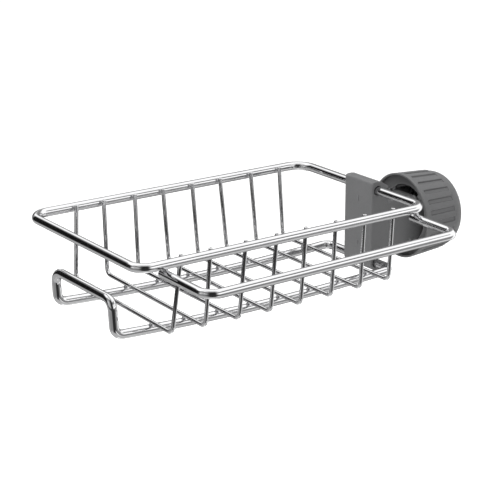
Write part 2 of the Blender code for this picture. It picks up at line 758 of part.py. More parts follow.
def make_retaining_screw():
    head_radius = SCREW_HEAD_DIAMETER / 2
    profile = [
        (HEAD_BOTTOM - SCREW_LENGTH, 0),
        (HEAD_BOTTOM - SCREW_LENGTH, SCREW_DIAMETER / 2),
        (HEAD_BOTTOM, SCREW_DIAMETER / 2),
        (HEAD_BOTTOM, head_radius),
    ]
    profile += arc(
        (KNOB_END - SCREW_EDGE_RADIUS, head_radius - SCREW_EDGE_RADIUS),
        SCREW_EDGE_RADIUS,
        math.pi / 2,
        0,
        EDGE_STEPS,
    )
    profile.append((KNOB_END, 0))
    screw = turned("retaining_screw", profile, SMALL_TURNED_STEPS)
    half_long = SCREW_CROSS_LENGTH / 2
    half_wide = SCREW_CROSS_WIDTH / 2
    cross = [
        (half_wide, half_wide),
        (half_wide, half_long),
        (-half_wide, half_long),
        (-half_wide, half_wide),
        (-half_long, half_wide),
        (-half_long, -half_wide),
        (-half_wide, -half_wide),
        (-half_wide, -half_long),
        (half_wide, -half_long),
        (half_wide, -half_wide),
        (half_long, -half_wide),
        (half_long, half_wide),
    ]
    recess = prism("cross_recess", cross, KNOB_END - SCREW_CROSS_DEPTH, KNOB_END + OVERRUN, "X")
    combine(screw, recess, "DIFFERENCE")
    finish(screw, STEEL)
    return screw


def main():
    clear_scene()
    basket = carrier("basket_slide", Vector((BASKET_RIGHT, 0, RIM_Z)))
    pressure = carrier("pressure_slide", Vector((PIPE_RADIUS, 0, 0)))
    spin = carrier("knob_spin", Vector((KNOB_END, 0, 0)))

    for rod in (make_top_rim(), make_bottom_frame(), make_towel_rail(), *make_cross_wires()):
        finish(rod, STEEL)
        carry(rod, basket)

    make_bracket()
    make_jaw_pad()

    for piece in (
        make_pressure_plate(),
        make_pressure_pad(),
        make_retaining_washer(),
        make_retaining_screw(),
    ):
        carry(piece, pressure)

    carry(make_knob(), spin)
    place = spin.location - pressure.location
    spin.parent = pressure
    spin.location = place


main()
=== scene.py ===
"""The looks of the sink caddy: polished steel rods, a grey moulded clamp and a white studio."""

import math

import bmesh
import bpy
from mathutils import Matrix, Vector


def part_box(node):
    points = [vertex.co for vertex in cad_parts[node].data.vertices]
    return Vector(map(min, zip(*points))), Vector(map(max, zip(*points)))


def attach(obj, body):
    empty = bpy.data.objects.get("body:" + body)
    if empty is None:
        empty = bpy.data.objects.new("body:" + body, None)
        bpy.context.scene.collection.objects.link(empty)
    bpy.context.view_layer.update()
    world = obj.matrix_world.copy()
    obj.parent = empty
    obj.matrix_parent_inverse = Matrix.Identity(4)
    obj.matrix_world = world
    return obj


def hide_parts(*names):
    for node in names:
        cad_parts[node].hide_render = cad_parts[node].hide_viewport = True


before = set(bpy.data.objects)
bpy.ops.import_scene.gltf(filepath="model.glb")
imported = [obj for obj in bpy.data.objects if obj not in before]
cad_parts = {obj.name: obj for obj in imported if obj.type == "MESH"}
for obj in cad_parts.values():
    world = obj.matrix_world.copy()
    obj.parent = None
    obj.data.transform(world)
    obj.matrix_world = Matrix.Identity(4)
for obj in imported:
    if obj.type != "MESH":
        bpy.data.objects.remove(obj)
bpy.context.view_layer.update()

# Camera, fitted to the photograph's 500 x 500 frame
CAMERA_AIM = Vector((-0.1349, -0.0114, 0.0031))
CAMERA_AZIMUTH = math.radians(-35.409)
CAMERA_ELEVATION = math.radians(17.994)
CAMERA_DISTANCE = 1.2089
CAMERA_LENS_MM = 122.83
CAMERA_SENSOR_MM = 36
CAMERA_CLIP_END = 100

# Basket
ROD_DIAMETER = 0.0065
RIM_CORNER_RADIUS = 0.011
RIM_REAR_CORNER_RADIUS = 0.0145
RIM_CORNER_DROP = 0.0007
FLOOR_CORNER_RADIUS = 0.007
FLOOR_BOW = 0.0034
RISER_LEAN = 0.0015
RISER_REAR_RADIUS = 0.010
REAR_RAIL_RISE = 0.0014
TOWEL_REACH = 0.049
TOWEL_CORNER_RADIUS = 0.010
TOWEL_LEFT_DROP = 0.0007
TOWEL_RIGHT_DROP = 0.0004
TOWEL_RIGHT_SETBACK = 0.0047
FIRST_WIRE_INSET = 0.0332
LAST_WIRE_INSET = 0.0248
# How far each wire's rear top, rear foot, front foot and front top are off even spacing, in pitches
WIRE_SHIFT_SHARES = (
    (0.080, -0.080, -0.115, 0.075),
    (-0.045, -0.080, -0.100, -0.025),
    (-0.035, -0.060, -0.040, 0.070),
    (-0.095, -0.035, -0.025, 0.055),
    (-0.105, -0.025, -0.035, 0.005),
    (-0.140, -0.015, 0.005, 0.005),
    (-0.050, 0.050, 0.010, -0.015),
    (-0.015, 0.020, 0.010, -0.020),
)
WIRE_LEAN = 0.0038
WIRE_BEND_RADIUS = 0.005
WIRE_DIAMETER = 0.003
WIRE_END_DROP = 0.0005
WIRE_TIP_ROUNDING = 0.0008
ROD_TIP_ROUNDING = 0.0007
ROD_BEVEL_RESOLUTION = 12
BEND_STEPS = 14
BOW_STEPS = 24
TIP_STEPS = 5

# Weld beads, as half sizes along and across the joint
RIM_BEAD = (0.0016, 0.0011, 0.0017)
FLOOR_BEAD = (0.0015, 0.0016, 0.0009)
TOWEL_BEAD = (0.0018, 0.0026, 0.0010)
BEAD_STEPS = 20
BEAD_RIPPLES = 5
BEAD_RIPPLE_SHARE = 0.07

# Bracket
SEAT_GAP = 0.0003
HOOK_WALL = 0.00245
HOOK_TOP_RADIUS = 0.0025
HOOK_CREST_WIDTH = 0.002
HOOK_CREST_RADIUS = 0.005
UPPER_HOOK_REACH = 0.010
LOWER_HOOK_REACH = 0.0055
HOOK_TIP_RADIUS = 0.0006
BEAK_TOP_RISE = 0.0020
BEAK_DROP = 0.0011
BEAK_ANGLE = math.radians(25)
PLATE_EDGE_RADIUS = 0.001
SLOT_WIDTH = 0.025
SLOT_CORNER_RADIUS = 0.002
NIB_LENGTH = 0.004
NIB_WIDTH = 0.0014
NIB_HEIGHT = 0.0004
NIB_SPREAD = 0.035
NIB_CENTRE_RISE = 0.0035
NIB_EDGE_RADIUS = 0.0002
NECK_DIAMETER = 0.0486
BRACKET_VOXEL = 0.0004
BRACKET_SMOOTH_ROUNDS = 6
BRACKET_SMOOTH_FACTOR = 0.5
OVERRUN = 0.001

# Thread of the arms and the knob
THREAD_DIAMETER = 0.046
THREAD_PITCH = 0.005
THREAD_DEPTH = 0.002
THREAD_CREST = 0.0012
THREAD_FLANK = 0.001
THREAD_START = 0.0055
THREAD_CHAMFER = 0.001
THREAD_CLEARANCE = 0.0004
THREAD_STEPS = 90

# Knob
KNOB_BAND_END_DIAMETER = 0.0614
KNOB_BAND_LENGTH = 0.0297
KNOB_CAP_STEP = 0.0008
KNOB_CAP_ROUNDING = 0.0054
KNOB_END_WALL = 0.005
KNOB_LIP_WALL = 0.0015
KNOB_LIP_DEPTH = 0.0034
KNOB_LIP_RADIUS = 0.0005
FUNNEL_DEPTH = 0.003
FUNNEL_CLEARANCE = 0.0015
STEP_EDGE_RADIUS = 0.0003
STEP_EDGE_STEPS = 4
CAP_STEPS = 32
GROOVE_COUNT = 24
GROOVE_INSET = 0.0042
GROOVE_WIDTH = 0.0036
GROOVE_DEPTH = 0.001
GROOVE_CORNER_RADIUS = 0.0014
GROOVE_EDGE_WIDTH = 0.0006
RECESS_DIAMETER = 0.0124
GROOVE_FLOOR_STEPS = 4
GROOVE_EDGE_STEPS = 7
GROOVE_LAND_STEPS = 3
BAND_SPACING = 0.0004
THREAD_SPACING = 0.00035

# Pads, plate, screw and washer
PAD_EDGE_RADIUS = 0.0006
PLATE_EDGE_ROUNDING = 0.0005
JAW_RADIUS = 0.016
PLATE_CORNER_RADIUS = 0.002
PRESSURE_PLATE_THICKNESS = 0.005
STEM_DIAMETER = 0.014
STEM_FILLET = 0.0015
SCREW_DIAMETER = 0.004
SCREW_EDGE_RADIUS = 0.0005
SCREW_CROSS_LENGTH = 0.0042
SCREW_CROSS_WIDTH = 0.001
SCREW_CROSS_DEPTH = 0.0009
SCREW_TIP_LENGTH = 0.002
WASHER_EDGE_RADIUS = 0.00012

# Shared by several pieces
EDGE_SEGMENTS = 3
EDGE_PROFILE = 0.5
SHARP_ANGLE = math.radians(50)
SCREW_SHARP_ANGLE = math.radians(40)
ARC_STEPS = 16
TURNED_STEPS = 160
SMALL_TURNED_STEPS = 64
MERGE_DISTANCE = 0.000001

# Colours, darker one first where a piece has two
STEEL_COLOURS = ((0.78, 0.78, 0.79), (0.83, 0.83, 0.84))
BEAD_COLOURS = ((0.62, 0.62, 0.63), (0.76, 0.76, 0.77))
PLASTIC_COLOURS = ((0.116, 0.117, 0.119), (0.126, 0.127, 0.129))
PLASTIC_SPECK_COLOUR = (0.15, 0.151, 0.153)
# Painted highlight on the plastic's edges
PLASTIC_PAINTED_HIGHLIGHT_COLOUR = (0.20, 0.20, 0.203)
# Painted shade in the plastic's hollows
PLASTIC_PAINTED_SHADE_COLOUR = (0.045, 0.045, 0.046)
RUBBER_COLOUR = (0.016, 0.016, 0.017)
DUST_COLOUR = (0.045, 0.044, 0.043)
ZINC_COLOURS = ((0.52, 0.53, 0.55), (0.66, 0.66, 0.65))
BLACK = (0, 0, 0, 1)
WHITE = (1, 1, 1, 1)

# Studio
WORLD_SEEN = 1.25
WORLD_LIGHT = 0.95
FLOOR_DROP = 0.30
FLOOR_DISC_RADIUS = 12
FLOOR_DISC_STEPS = 64
FLOOR_WHITE = 0.9
FLOOR_GLOW = 0.15
SIDE_LIGHT_SHARES = (0.45, 1.55)
STAGE_CENTRE = Vector((-0.14, 0, 0))
CARD_DISTANCE = 1.3
CARD_GAP = 0.01
# Mesh step and soft edges of a card, in degrees
CARD_STEP = 2
CARD_SIDE_FADE = 24
CARD_RISE_FADE = 8
# Cards as name, brightness, azimuths and elevations, the front card first. The angles are in
# degrees and lie where the card has half its strength.
REFLECTION_CARDS = (
    ("wire_card", 0.035, 145, 284, -17, -6),
    ("corner_card", 0.40, 178, 214, -6, 24),
    ("left_grey_card", 0.28, 146, 218, -40, -17),
    ("corner_high_card", 0.18, 165, 218, 28, 52),
    ("camera_card", 0.025, 205, 264, -46, 60),
    ("front_low_card", 0.03, 250, 292, -30, -2),
    ("left_rear_card", 0.008, 96, 172, -14, 31),
    ("left_high_card", 0.18, 96, 172, 20, 39),
    ("left_low_card", 0.42, 98, 148, -46, -8),
    ("front_grey_card", 0.28, 286, 336, -36, 2),
    ("front_high_card", 0.16, 250, 330, 29, 47),
    ("edge_card", 0.26, 30, 68, 8, 40),
    ("rear_card", 0.10, 12, 98, -60, 16),
    ("floor_card", 0.52, 98, 375, -84, -40),
    ("zenith_card", 0.75, 150, 300, 62, 86),
)
# Lights as name, place, side and power
LIGHTS = (
    ("key", (-1.1, -0.25, 0.75), 0.7, 6),
    ("top", (-0.2, 0.2, 1.4), 0.8, 3),
    ("back", (0.4, 0.75, 0.8), 0.5, 5),
)

# Worked out from the frame
rim_low, rim_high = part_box("top_rim")
floor_low, floor_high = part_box("bottom_frame")
bracket_low, bracket_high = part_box("bracket")
knob_low, knob_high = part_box("knob")
ROD_RADIUS = ROD_DIAMETER / 2
WIRE_RADIUS = WIRE_DIAMETER / 2
RIM_Z = rim_high.z - ROD_RADIUS
BASKET_RIGHT = rim_high.x - ROD_RADIUS
BASKET_LEFT = rim_low.x + ROD_RADIUS
RIM_FRONT = rim_low.y + ROD_RADIUS
RIM_REAR = rim_high.y - ROD_RADIUS
FLOOR_Z = floor_low.z + ROD_RADIUS + FLOOR_BOW
FLOOR_FRONT = floor_low.y + ROD_RADIUS
FLOOR_REAR = floor_high.y - ROD_RADIUS
PLATE_FACE = bracket_low.x + NIB_HEIGHT
BRACKET_HALF_WIDTH = bracket_high.y
ARM_REACH = bracket_high.x
PAST_ARMS = ARM_REACH + OVERRUN
WIRE_OFFSET = ROD_RADIUS + SEAT_GAP + WIRE_RADIUS
HOOK_BORE = ROD_RADIUS + SEAT_GAP
SCREW_BORE = SCREW_DIAMETER / 2 + SEAT_GAP
HOOK_BOTTOM_RADIUS = HOOK_BORE + HOOK_WALL
UPPER_TIP = BASKET_RIGHT + UPPER_HOOK_REACH
LOWER_TIP = BASKET_RIGHT + LOWER_HOOK_REACH
SLOT_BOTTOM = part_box("jaw_pad")[0].x - SEAT_GAP
THREAD_RADIUS = THREAD_DIAMETER / 2
KNOB_MOUTH = knob_low.x
KNOB_END = knob_high.x
KNOB_MOUTH_RADIUS = (knob_high.z - knob_low.z) / 2
KNOB_BAND_END = KNOB_MOUTH + KNOB_BAND_LENGTH
KNOB_FLOOR = KNOB_END - KNOB_END_WALL


def rounded_path(corners, closed=False, steps=BEND_STEPS):
    """Straight runs joined by arcs, from (point, radius) pairs, and a radius of 0 keeps the point."""
    points = []
    count = len(corners)
    for index, (corner, radius) in enumerate(corners):
        corner = Vector(corner)
        bends = closed or 0 < index < count - 1
        if radius == 0 or not bends:
            points.append(corner)
            continue
        before = (Vector(corners[index - 1][0]) - corner).normalized()
        after = (Vector(corners[(index + 1) % count][0]) - corner).normalized()
        half_angle = before.angle(after) / 2
        centre = corner + (before + after).normalized() * (radius / math.sin(half_angle))
        setback = radius / math.tan(half_angle)
        first = corner + before * setback - centre
        last = corner + after * setback - centre
        sweep = math.pi - 2 * half_angle
        for share in steps_between(0, 1, steps):
            near = math.sin((1 - share) * sweep) / math.sin(sweep)
            far = math.sin(share * sweep) / math.sin(sweep)
            points.append(centre + first * near + last * far)
    return points


def rounded_outline(corners):
    """The same for a closed outline in a plane, as pairs of numbers."""
    lifted = [((a, b, 0), radius) for (a, b), radius in corners]
    return [(point.x, point.y) for point in rounded_path(lifted, closed=True)]


def rectangle(half_width, half_height, radius, centre_height=0):
    """A rectangle with rounded corners, centred on 0 across."""
    low = centre_height - half_height
    high = centre_height + half_height
    corners = ((-half_width, low), (half_width, low), (half_width, high), (-half_width, high))
    return rounded_outline([(corner, radius) for corner in corners])


def steps_between(start, end, count):
    """Evenly spaced numbers from one to another, both included."""
    return [start + (end - start) * step / count for step in range(count + 1)]


def spaced(start, end, spacing):
    return steps_between(start, end, max(1, round(abs(end - start) / spacing)))


def arc(centre, radius, first_angle, last_angle, steps=ARC_STEPS):
    turns = steps_between(first_angle, last_angle, steps)
    return [(centre[0] + radius * math.cos(turn), centre[1] + radius * math.sin(turn)) for turn in turns]


def link_mesh(name, bm):
    """A new object in the scene with the mesh, which is used up."""
    mesh = bpy.data.meshes.new(name)
    bm.to_mesh(mesh)
    bm.free()
    obj = bpy.data.objects.new(name, mesh)
    bpy.context.scene.collection.objects.link(obj)
    return obj


def link_solid(name, bm):
    """The same with all faces turned outwards."""
    bmesh.ops.recalc_face_normals(bm, faces=bm.faces)
    return link_mesh(name, bm)


def skin(bm, rings):
    """Faces between each closed ring of corners and the next."""
    for one, other in zip(rings, rings[1:]):
        for step in range(len(one)):
            ahead = (step + 1) % len(one)
            bm.faces.new((one[step], one[ahead], other[ahead], other[step]))


def prism(name, outline, low, high, axis, edge_radius=0):
    """An outline in the plane across an axis, drawn out along that axis, with its ends' edges rounded."""
    placed = {
        "X": lambda a, b, along: Vector((along, a, b)),
        "Y": lambda a, b, along: Vector((a, along, b)),
        "Z": lambda a, b, along: Vector((a, b, along)),
    }[axis]
    bm = bmesh.new()
    base = bm.faces.new([bm.verts.new(placed(a, b, low)) for a, b in outline])
    drawn = bmesh.ops.extrude_face_region(bm, geom=[base])
    moved = [item for item in drawn["geom"] if isinstance(item, bmesh.types.BMVert)]
    bmesh.ops.translate(bm, verts=moved, vec=placed(0, 0, high - low))
    if edge_radius:
        bmesh.ops.recalc_face_normals(bm, faces=bm.faces)
        ends = [edge for edge in bm.edges if any(len(face.verts) > 4 for face in edge.link_faces)]
        bmesh.ops.bevel(
            bm,
            geom=ends,
            offset=edge_radius,
            segments=EDGE_SEGMENTS,
            profile=EDGE_PROFILE,
            affect="EDGES",
            clamp_overlap=True,
        )
    return link_solid(name, bm)


def turned(name, profile, steps=TURNED_STEPS, closed=False):
    """A profile of (x, radius) pairs turned about the X axis."""
    bm = bmesh.new()
    spots = [bm.verts.new((x, 0, radius)) for x, radius in profile]
    ends = spots[1:] + spots[:1] if closed else spots[1:]
    edges = [bm.edges.new(pair) for pair in zip(spots, ends)]
    bmesh.ops.spin(
        bm,
        geom=spots + edges,
        axis=(1, 0, 0),
        cent=(0, 0, 0),
        angle=2 * math.pi,
        steps=steps,
        use_merge=True,
    )
    bmesh.ops.remove_doubles(bm, verts=bm.verts, dist=MERGE_DISTANCE)
    return link_solid(name, bm)


def apply_modifiers(obj):
    bpy.context.view_layer.update()
    evaluated = obj.evaluated_get(bpy.context.evaluated_depsgraph_get())
    result = bpy.data.meshes.new_from_object(evaluated)
    obj.modifiers.clear()
    obj.data = result


def combine(obj, tool, operation):
    """Joins, cuts or intersects a solid with another, which is used up."""
    modifier = obj.modifiers.new(tool.name, "BOOLEAN")
    modifier.operation = operation
    modifier.solver = "EXACT"
    modifier.object = tool
    apply_modifiers(obj)
    bpy.data.objects.remove(tool, do_unlink=True)


def soften(obj, voxel, factor, rounds):
    """Rebuilds a solid as an even mesh and lets its edges run into small roundings."""
    remesh = obj.modifiers.new("remesh", "REMESH")
    remesh.mode = "VOXEL"
    remesh.voxel_size = voxel
    smooth = obj.modifiers.new("smooth", "SMOOTH")
    smooth.factor = factor
    smooth.iterations = rounds
    apply_modifiers(obj)


def join(obj, *others):
    """Adds the meshes of other objects to one object."""
    bm = bmesh.new()
    for piece in (obj, *others):
        bm.from_mesh(piece.data)
    bm.to_mesh(obj.data)
    bm.free()
    for piece in others:
        bpy.data.objects.remove(piece, do_unlink=True)


def node_material(name):
    material = bpy.data.materials.new(name)
    material.use_nodes = True
    tree = material.node_tree
    return material, tree, tree.nodes["Principled BSDF"]


def noise(tree, scale, detail, roughness=0.5):
    """A noise in the part's own metres."""
    coordinates = tree.nodes.new("ShaderNodeTexCoord")
    texture = tree.nodes.new("ShaderNodeTexNoise")
    texture.inputs["Scale"].default_value = scale
    texture.inputs["Detail"].default_value = detail
    texture.inputs["Roughness"].default_value = roughness
    tree.links.new(coordinates.outputs["Object"], texture.inputs["Vector"])
    return texture.outputs["Fac"]


def spread(tree, value, low, high, from_low=0.35, from_high=0.65):
    """Maps one range of a value, by default the middle of a noise, onto another."""
    node = tree.nodes.new("ShaderNodeMapRange")
    node.inputs["From Min"].default_value = from_low
    node.inputs["From Max"].default_value = from_high
    node.inputs["To Min"].default_value = low
    node.inputs["To Max"].default_value = high
    tree.links.new(value, node.inputs["Value"])
    return node.outputs["Result"]


def blend(tree, factor, one, other):
    node = tree.nodes.new("ShaderNodeMix")
    node.data_type = "RGBA"
    tree.links.new(factor, node.inputs["Factor"])
    for socket, colour in (("A", one), ("B", other)):
        target = next(item for item in node.inputs if item.name == socket and item.type == "RGBA")
        if isinstance(colour, tuple):
            target.default_value = (*colour, 1)
        else:
            tree.links.new(colour, target)
    return next(item for item in node.outputs if item.type == "RGBA")


def mottled(tree, colours, scale, detail):
    """Two colours in cloudy patches."""
    return blend(tree, spread(tree, noise(tree, scale, detail), 0, 1), *colours)


def set_roughness(tree, shader, low, high, scale, detail):
    """A roughness that varies over the surface."""
    tree.links.new(spread(tree, noise(tree, scale, detail), low, high), shader.inputs["Roughness"])


def bump(tree, shader, height, strength, distance):
    node = tree.nodes.new("ShaderNodeBump")
    node.inputs["Strength"].default_value = strength
    node.inputs["Distance"].default_value = distance
    tree.links.new(height, node.inputs["Height"])
    tree.links.new(node.outputs["Normal"], shader.inputs["Normal"])


def polished_steel():
    """Bright drawn rod: mirror-like, with a faint haze and slight waviness from the drawing die."""
    material, tree, shader = node_material("polished_steel")
    shader.inputs["Metallic"].default_value = 1
    tree.links.new(mottled(tree, STEEL_COLOURS, scale=90, detail=4), shader.inputs["Base Color"])
    set_roughness(tree, shader, 0.045, 0.10, scale=350, detail=5)
    bump(tree, shader, noise(tree, scale=700, detail=2), strength=0.10, distance=0.00002)
    return material


def bead_steel():
    """The same steel where it was melted: duller and rippled."""
    material, tree, shader = node_material("bead_steel")
    shader.inputs["Metallic"].default_value = 1
    tree.links.new(mottled(tree, BEAD_COLOURS, scale=500, detail=3), shader.inputs["Base Color"])
    set_roughness(tree, shader, 0.12, 0.28, scale=900, detail=4)
    bump(tree, shader, noise(tree, scale=1600, detail=3), strength=0.25, distance=0.00006)
    return material


def grey_plastic():
    """Moulded plastic with a fine grain, a little mottled, with a painted highlight on its edges and
    painted shade in its hollows.
    """
    material, tree, shader = node_material("grey_plastic")
    mottle = mottled(tree, PLASTIC_COLOURS, scale=45, detail=3)
    specks = spread(tree, noise(tree, scale=5200, detail=1), 0, 0.35)
    speckled = blend(tree, specks, mottle, PLASTIC_SPECK_COLOUR)
    # Painted highlight: convex edges are turned a paler grey
    pointiness = tree.nodes.new("ShaderNodeNewGeometry").outputs["Pointiness"]
    edges = spread(tree, pointiness, 0, 0.5, from_low=0.51, from_high=0.58)
    with_painted_highlight = blend(tree, edges, speckled, PLASTIC_PAINTED_HIGHLIGHT_COLOUR)
    # Painted shade: concave hollows are turned a darker grey
    painted_shade = spread(tree, pointiness, 1, 0, from_low=0.44, from_high=0.495)
    colour = blend(tree, painted_shade, with_painted_highlight, PLASTIC_PAINTED_SHADE_COLOUR)
    tree.links.new(colour, shader.inputs["Base Color"])
    set_roughness(tree, shader, 0.42, 0.56, scale=600, detail=4)
    grain = noise(tree, scale=4200, detail=3, roughness=0.6)
    bump(tree, shader, grain, strength=0.30, distance=0.00005)
    return material


def black_silicone():
    """Soft black rubber with a dry surface and a trace of dust."""
    material, tree, shader = node_material("black_silicone")
    dust = spread(tree, noise(tree, scale=2600, detail=3), 0, 1, from_low=0.58, from_high=0.75)
    tree.links.new(blend(tree, dust, RUBBER_COLOUR, DUST_COLOUR), shader.inputs["Base Color"])
    set_roughness(tree, shader, 0.55, 0.75, scale=300, detail=3)
    bump(tree, shader, noise(tree, scale=1800, detail=4), strength=0.25, distance=0.00008)
    return material


def screw_steel():
    """Zinc-plated steel with turning marks round the X axis."""
    material, tree, shader = node_material("screw_steel")
    shader.inputs["Metallic"].default_value = 1
    coordinates = tree.nodes.new("ShaderNodeTexCoord")
    rings = tree.nodes.new("ShaderNodeTexWave")
    rings.wave_type = "RINGS"
    rings.rings_direction = "X"
    rings.inputs["Scale"].default_value = 900
    rings.inputs["Distortion"].default_value = 1.5
    tree.links.new(coordinates.outputs["Object"], rings.inputs["Vector"])
    tree.links.new(mottled(tree, ZINC_COLOURS, scale=700, detail=4), shader.inputs["Base Color"])
    set_roughness(tree, shader, 0.24, 0.40, scale=1500, detail=3)
    bump(tree, shader, rings.outputs["Fac"], strength=0.2, distance=0.00003)
    return material


STEEL = polished_steel()
BEAD = bead_steel()
PLASTIC = grey_plastic()
RUBBER = black_silicone()
ZINC = screw_steel()


def dress(obj, material, slot, body, *nodes):
    """Gives a piece its material, its body and the nodes it stands for. The slot it is finished as is not
    used.
    """
    obj.data.materials.clear()
    obj.data.materials.append(material)
    if obj.type == "MESH":
        obj.data.shade_smooth()
    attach(obj, body)
    if nodes:
        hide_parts(*nodes)


def rounded_end(end, inner, tip, radius):
    """The last stretch of a rod as (point, share of its radius), outwards from where it narrows."""
    along = (end - inner).normalized()
    turns = steps_between(0, math.pi / 2, TIP_STEPS)
    return [
        (end - along * tip * (1 - math.sin(turn)), 1 - tip * (1 - math.cos(turn)) / radius)
        for turn in turns
    ]


def tube(name, points, radius, closed=False, tip=0):
    """A round rod along the points, smooth all round, with its open ends rounded off."""
    spots = [(point, 1) for point in points]
    if tip:
        first = rounded_end(points[0], points[1], tip, radius)
        last = rounded_end(points[-1], points[-2], tip, radius)
        spots = [*reversed(first), *spots[1:-1], *last]
    curve = bpy.data.curves.new(name, "CURVE")
    curve.dimensions = "3D"
    curve.bevel_depth = radius
    curve.bevel_resolution = ROD_BEVEL_RESOLUTION
    curve.use_fill_caps = not closed
    spline = curve.splines.new("POLY")
    spline.points.add(len(spots) - 1)
    for spot, (point, share) in zip(spline.points, spots):
        spot.co = (*point, 1)
        spot.radius = share
    spline.use_cyclic_u = closed
    spline.use_smooth = True
    obj = bpy.data.objects.new(name, curve)
    bpy.context.scene.collection.objects.link(obj)
    return obj


def rim_front_height(x):
    """The front of the rim's centreline, which falls a little towards its left corner."""
    return RIM_Z - RIM_CORNER_DROP * (BASKET_RIGHT - x) / (BASKET_RIGHT - BASKET_LEFT)


def make_rim():
    corners = [
        ((BASKET_LEFT, RIM_FRONT, rim_front_height(BASKET_LEFT)), RIM_CORNER_RADIUS),
        ((BASKET_RIGHT, RIM_FRONT, RIM_Z), RIM_CORNER_RADIUS),
        ((BASKET_RIGHT, RIM_REAR, RIM_Z), RIM_REAR_CORNER_RADIUS),
        ((BASKET_LEFT, RIM_REAR, RIM_Z), RIM_REAR_CORNER_RADIUS),
    ]
    rim = tube("rim_rod", rounded_path(corners, True), ROD_RADIUS, True)
    dress(rim, STEEL, "polished_steel", "basket", "top_rim")


def floor_height(x, y):
    """The floor frame's centreline, which bows down between its ends and rises at its rear left."""
    share = (x - BASKET_LEFT) / (BASKET_RIGHT - BASKET_LEFT)
    rear_share = (y - FLOOR_FRONT) / (FLOOR_REAR - FLOOR_FRONT)
    return FLOOR_Z - FLOOR_BOW * 4 * share * (1 - share) + REAR_RAIL_RISE * (1 - share) * rear_share


def make_floor():
    bar_z = floor_high.z - ROD_RADIUS
    foot = BASKET_LEFT + RISER_LEAN
    bowed = steps_between(foot, BASKET_RIGHT, BOW_STEPS)[1:-1]
    corners = [
        ((BASKET_LEFT, FLOOR_REAR, bar_z), RISER_REAR_RADIUS),
        ((BASKET_LEFT, FLOOR_FRONT, bar_z), FLOOR_CORNER_RADIUS),
        ((foot, FLOOR_FRONT, floor_height(foot, FLOOR_FRONT)), FLOOR_CORNER_RADIUS),
        *[((x, FLOOR_FRONT, floor_height(x, FLOOR_FRONT)), 0) for x in bowed],
        ((BASKET_RIGHT, FLOOR_FRONT, FLOOR_Z), FLOOR_CORNER_RADIUS),
        ((BASKET_RIGHT, FLOOR_REAR, FLOOR_Z), FLOOR_CORNER_RADIUS),
        *[((x, FLOOR_REAR, floor_height(x, FLOOR_REAR)), 0) for x in reversed(bowed)],
        ((foot, FLOOR_REAR, floor_height(foot, FLOOR_REAR)), FLOOR_CORNER_RADIUS),
    ]
    rod = tube("floor_rod", rounded_path(corners, True), ROD_RADIUS, True)
    dress(rod, STEEL, "polished_steel", "basket", "bottom_frame")


def make_towel_rail():
    low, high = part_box("towel_rail")
    left = low.x + ROD_RADIUS
    right = high.x - ROD_RADIUS
    front = RIM_FRONT - TOWEL_REACH
    below = ROD_DIAMETER + SEAT_GAP
    left_z = rim_front_height(left) - below
    right_z = rim_front_height(right) - below
    corners = [
        ((left, high.y, left_z), 0),
        ((left, RIM_FRONT, left_z), 0),
        ((left, front, left_z - TOWEL_LEFT_DROP), TOWEL_CORNER_RADIUS),
        ((right, front + TOWEL_RIGHT_SETBACK, right_z - TOWEL_RIGHT_DROP), TOWEL_CORNER_RADIUS),
        ((right, RIM_FRONT, right_z), 0),
        ((right, high.y, right_z), 0),
    ]
    rail = tube("towel_rod", rounded_path(corners), ROD_RADIUS, tip=ROD_TIP_ROUNDING)
    dress(rail, STEEL, "polished_steel", "basket", "towel_rail")
    for side, x, z in (("left", left, left_z), ("right", right, right_z)):
        weld_bead(f"towel_bead_{side}", (x, RIM_FRONT, z + below / 2), TOWEL_BEAD)


def weld_bead(name, centre, half_sizes):
    """A small rippled nugget of melted metal that fills a joint."""
    bm = bmesh.new()
    bmesh.ops.create_uvsphere(bm, u_segments=BEAD_STEPS, v_segments=BEAD_STEPS // 2, radius=1)
    for vert in bm.verts:
        turn = math.atan2(vert.co.y, vert.co.x)
        ripple = 1 + BEAD_RIPPLE_SHARE * math.sin(BEAD_RIPPLES * turn) * (1 - abs(vert.co.z))
        sizes = [size * (1 if index == 2 else ripple) for index, size in enumerate(half_sizes)]
        vert.co = Vector(centre) + Vector(part * size for part, size in zip(vert.co, sizes))
    dress(link_solid(name, bm), BEAD, "polished_steel", "basket")


def make_leg(at_rim, foot_x, foot_y):
    """A wire's leg, as its end above the rim and its corner over the floor frame, in one line."""
    foot = Vector((foot_x, foot_y, floor_height(foot_x, foot_y) + WIRE_OFFSET))
    end = at_rim + (at_rim - foot) * ((ROD_RADIUS - WIRE_END_DROP) / (at_rim.z - foot.z))
    return end, foot


